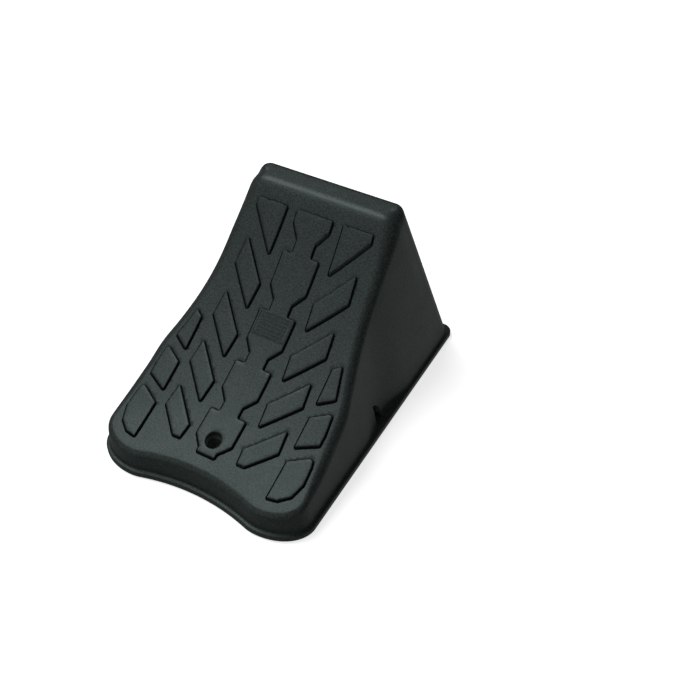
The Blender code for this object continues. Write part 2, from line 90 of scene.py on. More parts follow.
# Upper edge, where the walls would meet the ramp if the edge were sharp
EDGE_INSET = 0.0042
EDGE_BACK_Y = 0.2230
EDGE_REAR_RADIUS = 0.0095
EDGE_HALF_WIDTHS = (  # (y, half width), joined by a smooth curve
    (0.030, 0.0896),
    (0.050, 0.0890),
    (0.072, 0.0868),
    (0.092, 0.0848),
    (0.110, 0.0792),
    (0.130, 0.0738),
    (0.155, 0.0692),
    (0.180, 0.0675),
    (0.200, 0.0663),
    (0.214, 0.0645),
)
LAST_SIDE_Y = EDGE_BACK_Y - EDGE_REAR_RADIUS
STRETCH_FROM_Y = 0.060

# Rounding of the upper edge: how far it reaches from the sharp edge
ROUND_TOE = 0.004
ROUND_SIDE = 0.0075
ROUND_SHOULDER = 0.0125
ROUND_BACK = 0.0035
ROUND_FULLNESS = 0.7
TOE_EASE = (0.015, 0.055)  # where along the chock the rounding grows or shrinks
SHOULDER_EASE = (0.172, 0.2032)
BACK_EASE = (0.209, 0.2225)

# The same inside the moulding
INNER_ROUND_TOE = 0.002
INNER_ROUND_SIDE = 0.003
INNER_ROUND_SHOULDER = 0.007
INNER_ROUND_BACK = 0.0015
INNER_SHOULDER_EASE = (0.175, 0.2005)
INNER_BACK_EASE = (0.205, 0.2155)

# Tread plates on the ramp
PLATE_HEIGHT = 0.0018
PLATE_DRAFT = math.radians(12)
PLATE_TOP_RADIUS = 0.0008
PAD_CORNER = 0.0011
LINK_CORNER = 0.0014
GROOVE_DEPTH = 0.0006
GROOVE_WIDTH = 0.0009
PAD_PITCH = 0.0356
PAD_FIRST_Y = 0.0231
PAD_INNER_X = 0.0267
PAD_OUTER_X = 0.0518
PAD_TAPER = 0.0021  # the far corners of a pad sit this much nearer the middle
PAD_RISE = 0.0244
PAD_LENGTH = 0.0175
PAD_TOE_CUT_Y = 0.0290
PAD_LAST_Y = 0.2042  # the far side of the last row of pads, before it is cut at PLATE_END_Y
LINK_PITCH = 0.0375
LINK_FIRST_Y = 0.0209
LINK_START_Y = 0.0254
LINK_FLARE = 0.0168
LINK_NECK = 0.0083
LINK_HALF_WIDTH = 0.0161
ROW_COUNT = 5
PLATE_END_Y = 0.1942

# Blank name panel on the third link: a thin frame round plain bars
PANEL_LOW = (-0.0146, 0.1168)
PANEL_HIGH = (0.0146, 0.1324)
PANEL_LINE = 0.0007
PANEL_RISE = 0.00028
BAR_COUNT = 5
BAR_HALF_LENGTH = 0.0118
BAR_WIDTH = 0.0011
PANEL_CORNER = 0.0012
PANEL_SOFTNESS = 0.25  # share of a raised line's width taken by its sloping side
BAR_CORNER = 0.4
BAR_RISE = 0.8

# Painted shade: how much darker a point of the top is painted, by its height above the bare ramp, in the
# grooves round the tread plates, on the lower part of their sides and round the rim of the toe hole
PAINTED_SHADE_NAME = "painted_crevice_shade"
PAINTED_SHADE_BY_LIFT = ((-0.0012, -0.0007, -0.0004, 0.0, 0.0002, 0.0013, 0.0016), (0, 1, 0.9, 0, 0.9, 0.8, 0))
CLEAR_OF_CROWN = 0.0003

# Rope and stake openings
HOLE_Y = 0.0373
HOLE_RADIUS = 0.0063
HOLE_ROUND = 0.0008
HOLE_SINK = 3 * HOLE_ROUND  # how far the top is carried down inside the hole before it is cut
HOLE_MARGIN = 0.0004
HOLE_STEPS = 48
HOLE_ROUND_STEPS = 3
HOLE_TOP = 0.1
HOLE_CUT_STEPS = 96
SLOT_REAR_Y = 0.1440
SLOT_FRONT_Y = 0.1170
SLOT_INNER_X = 0.0815
SLOT_OUTER_X = 0.0892
SLOT_LEAN = 0.18  # the recess leans with the wall it is cut into
SLOT_FLOOR = 0.0050
SLOT_SPRING = 0.0105
SLOT_HEIGHT = 0.0250
SLOT_INNER_SPREAD = 0.12
SLOT_INNER_LIFT = 0.35
ARCH_STEPS = 24
PASSAGE_YS = (0.1345, 0.1405)
PASSAGE_XS = (0.078, 0.0895)
PASSAGE_FLOOR = 0.0051
PASSAGE_HEIGHT = 0.016
BACKING_YS = (0.1405, 0.1465)
BACKING_XS = (0.0770, 0.0845)
BACKING_HEIGHT = 0.0165
CUT_BELOW = 0.01

# Ribs and cups under the ramp
RIB_THICKNESS = 0.0025
RIB_X = 0.028
RIB_YS = (0.0635, 0.1550)
RIB_LIFT = 0.0005
RIB_OVERRUN = 0.01
RIB_TOP = 0.2
CUP_LIFT = 0.0002
CUP_RADIUS = 0.0095
CUP_HEIGHT = 0.007
SOCKET_RADIUS = 0.007
SOCKET_DEPTH = 0.003

# Rubber feet: the tread face from its middle outwards, then its chamfer from the rim inwards
FOOT_TREAD = (  # (radius, height above the ground)
    (0, 0.0006),
    (0.0022, 0.0006),
    (0.0027, 0.0004),
    (0.0030, 0),
    (0.0041, 0),
    (0.0043, 0.00035),
    (0.0048, 0.00035),
    (0.0050, 0),
)
FOOT_CHAMFER = ((0.0008, 0), (0.0003, 0.0002), (0, 0.0008))  # (distance in from the rim, height)
FOOT_TOP_EDGE = 0.0003
FOOT_STEPS = 64

# Where a shading edge turns sharp
SHELL_SHARP = 38
FOOT_SHARP = 30

# Studio floor: it glows everywhere but under the chock, from where it starts beside and beyond it
FLOOR_SIZE = 6.0
FLOOR_GLOW = 0.7
FLOOR_SHADE_X = (0.0925, 0.0945)
FLOOR_SHADE_Y = (0.105, 0.109)

# Softbox overhead
SOFTBOX_PLACE = (-0.60, 0.0, 1.55)
SOFTBOX_SIZE = 0.62
SOFTBOX_POWER = 13.5

# Surroundings: an even ceiling, its brighter and darker parts, and a glow low at the back right
CEILING_GLOW = 0.22
CEILING_PARTS = (  # (direction, cosine where the part begins, change in brightness)
    ((0.90, 0.09, 0.42), 0.55, -0.21),
    ((-0.30, -0.90, 0.30), 0.60, 0.40),
    ((-0.30, 0.65, 0.68), 0.60, -0.14),
)
CEILING_PART_END = 0.97
LOW_GLOW = (0.20, 0.42)
LOW_GLOW_SIDE = (0.70, 0.71, 0.0)
LOW_GLOW_SPREAD = (0.4, 0.95)
HORIZON = (-0.15, 0.15)

# The camera stands in front of the toe, to the right, and looks down at about 45 degrees
CAMERA_PLACE = (0.3218, -0.4592, 0.6072)
CAMERA_RIGHT = (0.8731, 0.4876, -0.0019)
CAMERA_FORWARD = (-0.3456, 0.6160, -0.7079)
CAMERA_LENS = 50.26

# Spacing of the mesh points
TOP_PITCH = 0.0030
EDGE_PITCH = 0.0022
INNER_PITCH = 0.006
TRIANGLE_RISE = 0.87  # an equilateral triangle's height, by its side
ARC_STEP = math.radians(18)
CORNER_SHARE = 0.45  # how much of a straight run a rounded corner may use
FLANGE_STEPS = 4
FILLET_STEPS = 3
WALL_STEPS = 8
ROUND_STEPS = 10
INNER_ROUND_STEPS = 5
CLEAR_OF_LINES = 0.0009
MILLIMETRES = 1000  # the triangulation is done in millimetres, where its rounding is small


class Detail:
    """How many points an outline has along each of its stretches."""

    def __init__(self, scallop, tangent, lobe, rear, side_gap):
        self.scallop = scallop
        self.tangent = tangent
        self.lobe = lobe
        self.rear = rear
        count = round((LAST_SIDE_Y - LOBE_LENGTH) / side_gap)
        self.side_ys = np.linspace(LOBE_LENGTH, LAST_SIDE_Y, count + 1)[1:]
        self.front = scallop + tangent + lobe


FINE = Detail(scallop=14, tangent=8, lobe=11, rear=8, side_gap=EDGE_PITCH)
INSIDE = Detail(scallop=5, tangent=3, lobe=5, rear=4, side_gap=INNER_PITCH)


def smooth(value, low, high):
    """0 below low, 1 above high, eased between them."""
    t = np.clip((value - low) / (high - low), 0, 1)
    return t * t * (3 - 2 * t)


def top_z(y, depth=0.0):
    """Height of the ramp and the top face, or of a surface that far beneath them."""
    reach = np.clip(y - RAMP_CENTRE_Y, 0, RAMP_RADIUS * 0.99)
    ramp = RAMP_CENTRE_Z - np.sqrt((RAMP_RADIUS + depth) ** 2 - reach**2)
    face = HEIGHT - TOP_SLOPE * (EDGE_BACK_Y - y) - depth
    near = np.clip(CREASE_EASE - np.abs(ramp - face), 0, None)
    return np.minimum(ramp, face) - near**2 / (4 * CREASE_EASE)


def foot_side(y):
    waist = np.clip((y - WAIST_Y) / WAIST_HALF_LENGTH, -1, 1)
    return WIDTH / 2 - FOOT_INSET - WAIST_DEPTH * np.cos(waist * math.pi / 2) ** 2


def edge_side(y):
    """Half the width of the upper edge, as a Hermite curve through the stated widths."""
    ys, widths = (np.array(column) for column in zip(*EDGE_HALF_WIDTHS))
    slopes = np.gradient(widths, ys)
    slopes[0] = 0
    y = np.clip(y, ys[0], ys[-1])
    spot = np.clip(np.searchsorted(ys, y) - 1, 0, len(ys) - 2)
    span = ys[spot + 1] - ys[spot]
    t = (y - ys[spot]) / span
    return (
        widths[spot] * (1 + 2 * t) * (1 - t) ** 2
        + widths[spot + 1] * t * t * (3 - 2 * t)
        + span * slopes[spot] * t * (1 - t) ** 2
        - span * slopes[spot + 1] * t * t * (1 - t)
    )


def outline(detail, inset, side_x, rear_radius, back_y):
    """A closed outline in plan, anticlockwise from the middle of the toe.

    Outlines of the same detail have the same number of points, and points of the same index
    belong to one line up the wall.
    """
    lobe = LOBE_RADIUS - inset
    drop = LOBE_RADIUS - SCALLOP_DEPTH
    full_scallop = (LOBE_X**2 + drop**2 - LOBE_RADIUS**2) / (2 * (LOBE_RADIUS - drop))
    centre_y = SCALLOP_DEPTH - full_scallop
    scallop = full_scallop + inset
    tangent = math.atan2(LOBE_X, LOBE_RADIUS - centre_y)

    half = []
    for step in range(detail.scallop):
        angle = tangent * step / detail.scallop
        half.append((scallop * math.sin(angle), centre_y + scallop * math.cos(angle)))
    for step in range(detail.tangent):
        angle = tangent * (step / detail.tangent - 1)
        half.append((LOBE_X + lobe * math.sin(angle), LOBE_RADIUS - lobe * math.cos(angle)))
    wide = float(side_x(LOBE_LENGTH)) - LOBE_X
    long = LOBE_LENGTH - inset
    for step in range(2 * detail.lobe + 1):
        angle = math.pi / 4 * step / detail.lobe
        half.append((LOBE_X + wide * math.sin(angle), LOBE_LENGTH - long * math.cos(angle)))

    rear_y = back_y - rear_radius
    stretch = rear_y - LAST_SIDE_Y
    for station in detail.side_ys:
        share = max(0.0, (station - STRETCH_FROM_Y) / (LAST_SIDE_Y - STRETCH_FROM_Y)) ** 2
        y = station + stretch * share
        half.append((float(side_x(y)), y))
    rear_x = float(side_x(rear_y)) - rear_radius
    for step in range(1, detail.rear + 1):
        angle = math.pi / 4 * step / detail.rear
        half.append((rear_x + rear_radius * math.cos(angle), rear_y + rear_radius * math.sin(angle)))

    corner_x = half[-1][0]
    front_x = half[detail.front][0]
    for index in range(detail.front - 1, -1, -1):
        x = corner_x * half[index][0] / front_x
        past = max(0.0, x - rear_x)
        half.append((x, rear_y + math.sqrt(rear_radius**2 - past**2)))

    left_half = [(-x, y) for x, y in reversed(half[1:-1])]
    return np.array(half + left_half)


def inward(points):
    """Unit normals in plan, pointing into the outline."""
    along = np.roll(points, -1, axis=0) - np.roll(points, 1, axis=0)
    along /= np.linalg.norm(along, axis=1)[:, None]
    return np.column_stack([-along[:, 1], along[:, 0]])


def with_z(points, z):
    return np.column_stack([points, np.broadcast_to(z, len(points))])


def conic(start, corner, end, fullness, steps):
    """Rings along a conic arc from start to end, pulled towards the corner."""
    rings = []
    for step in range(steps + 1):
        t = step / steps
        weights = ((1 - t) ** 2, 2 * fullness * t * (1 - t), t**2)
        rings.append((weights[0] * start + weights[1] * corner + weights[2] * end) / sum(weights))
    return rings


def rounded_rings(foot, edge, depth, reach_of, steps):
    """Rings over the rounded upper edge, from the wall that stands on foot to the top."""
    down = foot - edge
    down /= np.linalg.norm(down, axis=1)[:, None]
    reach = reach_of(edge[:, 1])[:, None]
    crown = edge[:, :2] + inward(edge[:, :2]) * reach
    crown = with_z(crown, top_z(crown[:, 1], depth))
    return conic(edge + down * reach, edge, crown, ROUND_FULLNESS, steps)


def outer_reach(y):
    side = ROUND_TOE + (ROUND_SIDE - ROUND_TOE) * smooth(y, *TOE_EASE)
    side = side + (ROUND_SHOULDER - ROUND_SIDE) * smooth(y, *SHOULDER_EASE)
    return side + (ROUND_BACK - side) * smooth(y, *BACK_EASE)


def inner_reach(y):
    side = INNER_ROUND_TOE + (INNER_ROUND_SIDE - INNER_ROUND_TOE) * smooth(y, *TOE_EASE)
    side = side + (INNER_ROUND_SHOULDER - INNER_ROUND_SIDE) * smooth(y, *INNER_SHOULDER_EASE)
    return side + (INNER_ROUND_BACK - side) * smooth(y, *INNER_BACK_EASE)


def turned_corners(points, radius, pitch):
    """A closed outline with each corner replaced by an arc and its straights cut into short steps."""
    points = [Vector(point) for point in points]
    result = []
    for before, corner, after in zip(points[-1:] + points[:-1], points, points[1:] + points[:1]):
        back = before - corner
        ahead = after - corner
        half_turn = (math.pi - back.angle(ahead)) / 2
        reach = min(radius * math.tan(half_turn), CORNER_SHARE * back.length, CORNER_SHARE * ahead.length)
        start = corner + back.normalized() * reach
        end = corner + ahead.normalized() * reach
        bisector = (back.normalized() + ahead.normalized()).normalized()
        arc_radius = reach / math.tan(half_turn)
        centre = corner + bisector * (reach / math.sin(half_turn)) if half_turn > 0.01 else corner
        steps = max(2, round(2 * half_turn / ARC_STEP))
        if result:
            result.extend(between(result[-1], start, pitch))
        for step in range(steps + 1):
            chord = start.lerp(end, step / steps) - centre
            result.append(centre + chord.normalized() * arc_radius)
    result.extend(between(result[-1], result[0], pitch))
    return np.array([tuple(point) for point in result])


def between(start, end, pitch):
    """The points that divide a straight run into steps of about that pitch."""
    count = max(1, round((end - start).length / pitch))
    return [start.lerp(end, step / count) for step in range(1, count)]


def clipped(points, keep_above, y_limit):
    """The part of a convex plan outline on one side of a line across the chock."""
    side = 1 if keep_above else -1
    kept = []
    for start, end in zip(points, points[1:] + points[:1]):
        start_in = side * (start[1] - y_limit) >= 0
        end_in = side * (end[1] - y_limit) >= 0
        if start_in:
            kept.append(start)
        if start_in != end_in:
            t = (y_limit - start[1]) / (end[1] - start[1])
            kept.append((start[0] + t * (end[0] - start[0]), y_limit))
    return kept


def pad_outline(row):
    """One slanted pad of the rows on either side of the middle."""
    y = PAD_FIRST_Y + PAD_PITCH * row
    inner = (PAD_INNER_X, y)
    outer = (PAD_OUTER_X, y + PAD_RISE)
    far_outer = (PAD_OUTER_X - PAD_TAPER, y + PAD_RISE + PAD_LENGTH)
    far_inner = (PAD_INNER_X - PAD_TAPER, y + PAD_LENGTH)
    if row == 0:
        return clipped([inner, outer, far_outer, far_inner], True, PAD_TOE_CUT_Y)
    if row == ROW_COUNT - 1:
        beyond = [(corner[0], PAD_LAST_Y) for corner in (far_outer, far_inner)]
        return clipped([inner, outer, *beyond], False, PLATE_END_Y)
    return [inner, outer, far_outer, far_inner]


def link_outline():
    """The chain of plates down the middle, each running into the next through a narrow neck."""
    right = [(LINK_NECK, LINK_START_Y)]
    for row in range(ROW_COUNT):
        y = LINK_FIRST_Y + LINK_PITCH * row
        right.append((LINK_NECK, y + LINK_NECK))
        right.append((LINK_HALF_WIDTH, y + LINK_FLARE))
        if row < ROW_COUNT - 1:
            right.append((LINK_HALF_WIDTH, y + LINK_PITCH))
            right.append((LINK_NECK, y + LINK_PITCH))
    right.append((LINK_HALF_WIDTH, PLATE_END_Y))
    return right + [(-x, y) for x, y in reversed(right)]


def shoulder_outlines():
    """The short plates on the widening shoulders of the ramp, near the toe."""
    return [
        [
            (0.060, 0.0158), (0.069, 0.0174), (0.0771, 0.0238), (0.0808, 0.0351),
            (0.0799, 0.0478), (0.0787, 0.0526), (0.076, 0.0538), (0.060, 0.0452),
        ],
        [
            (0.060, 0.0559), (0.0776, 0.0640), (0.0779, 0.0722), (0.0763, 0.0855),
            (0.0735, 0.0861), (0.060, 0.0789),
        ],
        [(0.060, 0.0889), (0.0731, 0.0962), (0.0668, 0.1180), (0.060, 0.1138)],
    ]


def mirrored(points):
    return [(-x, y) for x, y in reversed(points)]


def plate_outlines():
    plates = [turned_corners(link_outline(), LINK_CORNER, EDGE_PITCH)]
    for points in [pad_outline(row) for row in range(ROW_COUNT)] + shoulder_outlines():
        plates.append(turned_corners(points, PAD_CORNER, EDGE_PITCH))
        plates.append(turned_corners(mirrored(points), PAD_CORNER, EDGE_PITCH))
    return plates


def plate_profile():
    """(distance outside the plate's edge, height) across the groove and up the plate's side."""
    steep = math.pi / 2 - PLATE_DRAFT
    top_fall = PLATE_TOP_RADIUS * (1 - math.cos(steep))
    lean = (PLATE_HEIGHT + GROOVE_DEPTH - top_fall) / math.tan(steep)
    profile = []
    for across, sink in ((1.0, 0.0), (0.8, 0.25), (0.55, 0.85), (0.3, 1.0), (0.0, 0.85)):
        profile.append((lean / 2 + GROOVE_WIDTH * across, -GROOVE_DEPTH * sink))
    for angle in (steep, 2 * steep / 3, steep / 3, 0.0):
        out = -lean / 2 - PLATE_TOP_RADIUS * (math.sin(steep) - math.sin(angle))
        profile.append((out, PLATE_HEIGHT - PLATE_TOP_RADIUS * (1 - math.cos(angle))))
    return profile


def ring_of(centre, radius, steps):
    turn = np.arange(steps) * 2 * math.pi / steps
    return np.column_stack([centre[0] + radius * np.cos(turn), centre[1] + radius * np.sin(turn)])


def rectangle(low, high, corner):
    points = [low, (high[0], low[1]), high, (low[0], high[1])]
    return turned_corners(points, corner, EDGE_PITCH)


def shifted(points, outwards):
    return points - inward(points) * outwards


def contour_lines():
    """Closed lines on the top with the height of each above the bare ramp."""
    lines = []
    for plate in plate_outlines():
        for out, height in plate_profile():
            lines.append((shifted(plate, out), height))
    frame_line = rectangle(PANEL_LOW, PANEL_HIGH, PANEL_CORNER)
    soft = PANEL_LINE * PANEL_SOFTNESS
    for inset, rise in ((0, 0), (soft, 1), (PANEL_LINE, 1), (PANEL_LINE + soft, 0)):
        lines.append((shifted(frame_line, -inset), PLATE_HEIGHT + rise * PANEL_RISE))
    rows = np.linspace(PANEL_LOW[1], PANEL_HIGH[1], BAR_COUNT + 2)[1:-1]
    for y in rows:
        low = (-BAR_HALF_LENGTH, y - BAR_WIDTH / 2)
        high = (BAR_HALF_LENGTH, y + BAR_WIDTH / 2)
        bar = rectangle(low, high, BAR_WIDTH * BAR_CORNER)
        lines.append((bar, PLATE_HEIGHT))
        raised = shifted(bar, -BAR_WIDTH * PANEL_SOFTNESS)
        lines.append((raised, PLATE_HEIGHT + PANEL_RISE * BAR_RISE))
    for step in range(HOLE_ROUND_STEPS + 1):
        angle = math.pi / 2 * step / HOLE_ROUND_STEPS
        radius = HOLE_RADIUS + HOLE_ROUND * (1 - math.sin(angle))
        sink = HOLE_ROUND * (1 - math.cos(angle))
        lines.append((ring_of((0, HOLE_Y), radius, HOLE_STEPS), PLATE_HEIGHT - sink))
    bottom = ring_of((0, HOLE_Y), HOLE_RADIUS - HOLE_MARGIN, HOLE_STEPS)
    lines.append((bottom, PLATE_HEIGHT - HOLE_SINK))
    return lines


def inside(points, polygon):
    """Which of the points lie inside a closed outline."""
    x, y = points[:, 0:1], points[:, 1:2]
    x0, y0 = polygon[:, 0], polygon[:, 1]
    x1, y1 = np.roll(x0, -1), np.roll(y0, -1)
    crosses = (y0 > y) != (y1 > y)
    level = np.where(y1 == y0, 1, y1 - y0)
    at = x0 + (y - y0) * (x1 - x0) / level
    return (np.sum(crosses & (x < at), axis=1) % 2) == 1


def top_surface(crown):
    """Triangles that fill the crown ring, with the tread plates raised out of them.

    Returns the points beyond those of the ring, and faces that count the ring's points first.
    """
    lines = contour_lines()
    plates = [points for points, height in lines if abs(height - PLATE_HEIGHT) < 1e-9]
    drawn = np.vstack([crown[:, :2]] + [points for points, _ in lines])
    heights = np.concatenate([np.zeros(len(crown))] + [np.full(len(p), h) for p, h in lines])

    spots = []
    rows = np.arange(crown[:, 1].min(), crown[:, 1].max(), TOP_PITCH * TRIANGLE_RISE)
    for number, y in enumerate(rows):
        start = -WIDTH / 2 + (number % 2) * TOP_PITCH / 2
        spots.extend((x, y) for x in np.arange(start, WIDTH / 2, TOP_PITCH))
    spots = np.array(spots)
    spots = spots[inside(spots, crown[:, :2])]
    gaps = np.array([np.min(np.hypot(*(drawn - spot).T)) for spot in spots])
    spots = spots[gaps > CLEAR_OF_LINES]
    raised = np.zeros(len(spots), bool)
    for plate in plates[: len(plate_outlines())]:
        raised |= inside(spots, plate)
    in_hole = np.hypot(spots[:, 0], spots[:, 1] - HOLE_Y) < HOLE_RADIUS
    spot_heights = np.where(raised, PLATE_HEIGHT, 0.0)
    spot_heights[in_hole] = PLATE_HEIGHT - HOLE_SINK

    points = np.vstack([drawn, spots])
    heights = np.concatenate([heights, spot_heights])
    edges = []
    first = len(crown)
    for line, _ in lines:
        count = len(line)
        edges.extend((first + i, first + (i + 1) % count) for i in range(count))
        first += count
    border = list(range(len(crown)))
    verts, _, faces, sources, _, _ = delaunay_2d_cdt(
        [Vector(point) * MILLIMETRES for point in points], edges, [border], 0, 1e-4
    )
    numbers = []
    flat = []
    extra = []
    for vert, source in zip(verts, sources):
        first = min(source) if source else None
        x, y = points[first] if source else vert / MILLIMETRES
        flat.append((x, y))
        if source and first < len(crown):
            numbers.append(first)
            continue
        numbers.append(len(crown) + len(extra))
        extra.append((x, y, float(top_z(y, -heights[first] if source else 0.0))))
    middles = np.array(flat)[np.array(faces)].mean(axis=1)
    within = inside(middles, crown[:, :2])
    return extra, [tuple(numbers[i] for i in face) for face, kept in zip(faces, within) if kept]


def foot_lines(detail, inset, lower, upper):
    """The outlines of the wall's foot and of its upper edge, moved in by the same amount."""
    foot = outline(
        detail,
        FOOT_INSET + inset,
        lambda y: foot_side(y) - inset,
        FOOT_REAR_RADIUS - inset,
        FOOT_BACK_Y - inset,
    )
    edge = outline(
        detail,
        EDGE_INSET + inset,
        lambda y: edge_side(y) - inset,
        EDGE_REAR_RADIUS - inset,
        EDGE_BACK_Y - inset,
    )
    return with_z(foot, lower), with_z(edge, upper(edge[:, 1]))


def mesh_object(name, verts, faces):
    """Makes a closed mesh object whose faces point out."""
    mesh = bmesh.new()
    points = [mesh.verts.new(point) for point in verts]
    for face in faces:
        mesh.faces.new([points[index] for index in face])
    bmesh.ops.recalc_face_normals(mesh, faces=mesh.faces)
    data = bpy.data.meshes.new(name)
    mesh.to_mesh(data)
    mesh.free()
    made = bpy.data.objects.new(name, data)
    bpy.context.scene.collection.objects.link(made)
    return made


def ring_faces(count, rings):
    faces = []
    for level in range(rings - 1):
        for index in range(count):
            after = (index + 1) % count
            low = level * count
            faces.append((low + index, low + after, low + count + after, low + count + index))
    return faces


def outer_solid():
    """The chock's outside as one solid body, from the flange underside to the tread plates."""
    low = outline(FINE, 0, lambda y: WIDTH / 2 + 0 * y, FLANGE_REAR_RADIUS, LENGTH)
    foot, edge = foot_lines(FINE, 0, FLANGE_THICKNESS, top_z)
    into = inward(low)
    rings = [with_z(low + into * FLANGE_LOWER_EDGE, 0.0), with_z(low, FLANGE_LOWER_EDGE)]
    rings += conic(
        with_z(low, FLANGE_THICKNESS - FLANGE_EDGE),
        with_z(low, FLANGE_THICKNESS),
        with_z(low + into * FLANGE_EDGE, FLANGE_THICKNESS),
        ROUND_FULLNESS,
        FLANGE_STEPS,
    )
    ledge = with_z(foot[:, :2] - inward(foot[:, :2]) * FOOT_FILLET, FLANGE_THICKNESS)
    up = edge - foot
    up /= np.linalg.norm(up, axis=1)[:, None]
    rings += conic(ledge, foot, foot + up * FOOT_FILLET, ROUND_FULLNESS, FILLET_STEPS)
    over = rounded_rings(foot, edge, 0.0, outer_reach, ROUND_STEPS)
    wall_start = rings[-1]
    for step in range(1, WALL_STEPS):
        rings.append(wall_start + (over[0] - wall_start) * step / WALL_STEPS)
    rings += over

    count = len(low)
    extra, top_faces = top_surface(rings[-1])
    crown_start = (len(rings) - 1) * count
    faces = ring_faces(count, len(rings))
    faces.append(tuple(range(count - 1, -1, -1)))
    faces += [tuple(crown_start + index for index in face) for face in top_faces]
    return mesh_object("chock_moulding", [*np.vstack(rings), *extra], faces)


def inner_solid(name, inset, bottom, lift):
    """The solid inside the walls and the top at some depth, reaching down to bottom."""
    foot, edge = foot_lines(INSIDE, inset, lift, lambda y: top_z(y, inset))
    rings = [foot] + rounded_rings(foot, edge, inset, inner_reach, INNER_ROUND_STEPS)
    if bottom < lift:
        rings.insert(0, with_z(foot[:, :2], bottom))
    count = len(foot)
    front = INSIDE.front
    rear = front + INSIDE.lobe + len(INSIDE.side_ys) + INSIDE.rear
    verts = list(np.vstack(rings))
    faces = ring_faces(count, len(rings))
    faces.append(tuple(range(count - 1, -1, -1)))
    grid = top_grid(rings[-1], front, rear, inset, (len(rings) - 1) * count, verts)
    for row, above in zip(grid, grid[1:]):
        for column in range(len(row) - 1):
            faces.append((row[column], row[column + 1], above[column + 1], above[column]))
    return mesh_object(name, verts, faces)


def top_grid(crown, front, rear, depth, start, verts):
    """Rows of vertex numbers that fill the crown ring from the toe to the back, adding to verts."""
    count = len(crown)
    toe = [crown[index % count] for index in range(-front, front + 1)]
    back = [crown[count - rear - column] for column in range(2 * front + 1)]
    first, last = crown[front][1], crown[rear][1]
    share = [(point[0] - toe[0][0]) / (toe[-1][0] - toe[0][0]) for point in toe]
    grid = []
    for r in range(rear - front + 1):
        far = crown[front + r]
        near = crown[count - front - r]
        toe_pull = (1 - (far[1] - first) / (last - first)) ** 3
        back_pull = float(smooth(far[1], CREASE_Y, last))
        row = []
        for c, u in enumerate(share):
            if r == 0:
                row.append(start + (c - front) % count)
            elif r == rear - front:
                row.append(start + count - rear - c)
            elif c == 0:
                row.append(start + count - front - r)
            elif c == len(share) - 1:
                row.append(start + front + r)
            else:
                flat = near * (1 - u) + far * u
                toe_line = toe[0] * (1 - u) + toe[-1] * u
                back_line = back[0] * (1 - u) + back[-1] * u
                point = flat + toe_pull * (toe[c] - toe_line) + back_pull * (back[c] - back_line)
                row.append(len(verts))
                verts.append((point[0], point[1], float(top_z(point[1], depth))))
        grid.append(row)
    return grid


def prism(name, points, low, high):
    """An upright prism on a plan outline."""
    count = len(points)
    verts = [(x, y, low) for x, y in points] + [(x, y, high) for x, y in points]
    faces = ring_faces(count, 2)
    faces.append(tuple(range(count - 1, -1, -1)))
    faces.append(tuple(range(count, 2 * count)))
    return mesh_object(name, verts, faces)


def box(name, low, high):
    plan = [(low[0], low[1]), (high[0], low[1]), (high[0], high[1]), (low[0], high[1])]
    return prism(name, plan, low[2], high[2])


def cylinder(name, x, y, radius, low, high, segments=64):
    return prism(name, ring_of((x, y), radius, segments), low, high)


def arch_outline(spread, lift):
    """(y, z) outline of a rope slot's arch, drawn in towards its rear edge and its springing line."""
    middle = (SLOT_FRONT_Y + SLOT_REAR_Y) / 2
    half = (SLOT_REAR_Y - SLOT_FRONT_Y) / 2
    rise = SLOT_HEIGHT - SLOT_SPRING
    points = [(SLOT_REAR_Y, SLOT_FLOOR)]
    for step in range(ARCH_STEPS + 1):
        angle = math.pi * step / ARCH_STEPS
        y = middle + half * math.cos(angle)
        points.append((y, SLOT_SPRING + rise * lift * math.sin(angle)))
    points.append((SLOT_FRONT_Y, SLOT_FLOOR))
    return [(SLOT_REAR_Y - (SLOT_REAR_Y - y) * spread, z) for y, z in points]


def rope_scoop(side):
    """An arched recess in one wall, deepest at its rear edge."""
    outer = arch_outline(1, 1)
    inner = arch_outline(SLOT_INNER_SPREAD, SLOT_INNER_LIFT)
    verts = []
    for x, section in ((SLOT_OUTER_X, outer), (SLOT_INNER_X, inner)):
        verts += [(side * (x - SLOT_LEAN * z), y, z) for y, z in section]
    count = len(outer)
    faces = ring_faces(count, 2) + [tuple(range(count)), tuple(range(count, 2 * count))]
    return mesh_object("rope_scoop", verts, faces)


def side_box(name, side, xs, ys, low, high):
    """A box beside one wall, from its extents on the right."""
    left, right = sorted((side * xs[0], side * xs[1]))
    return box(name, (left, ys[0], low), (right, ys[1], high))


def combined(body, operation, others):
    """Joins or cuts a body with other closed bodies, which are used up."""
    for other in others:
        step = body.modifiers.new(operation.title(), "BOOLEAN")
        step.operation = operation
        step.solver = "MANIFOLD"
        step.object = other
    graph = bpy.context.evaluated_depsgraph_get()
    data = bpy.data.meshes.new_from_object(body.evaluated_get(graph))
    body.modifiers.clear()
    body.data = data
    for other in others:
        bpy.data.objects.remove(other, do_unlink=True)
    return body


def foot_places():
    """The centre of each foot in plan, from the toe datum, by node name."""
    places = {}
    for node in sorted(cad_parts):
        if node.startswith("grip_foot"):
            low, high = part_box(node)
            centre = (low + high) / 2 - TOE_DATUM
            places[node] = (centre.x, centre.y)
    return places


def rib_lattice():
    half = RIB_THICKNESS / 2
    ribs = []
    for side in (-1, 1):
        x = side * RIB_X
        low = (x - half, -RIB_OVERRUN, -RIB_OVERRUN)
        ribs.append(box("rib_along", low, (x + half, LENGTH + RIB_OVERRUN, RIB_TOP)))
    for y in RIB_YS:
        low = (-WIDTH, y - half, -RIB_OVERRUN)
        ribs.append(box("rib_across", low, (WIDTH, y + half, RIB_TOP)))
    lattice = combined(ribs[0], "UNION", ribs[1:])
    return combined(lattice, "INTERSECT", [inner_solid("rib_trim", WALL / 2, RIB_LIFT, RIB_LIFT)])


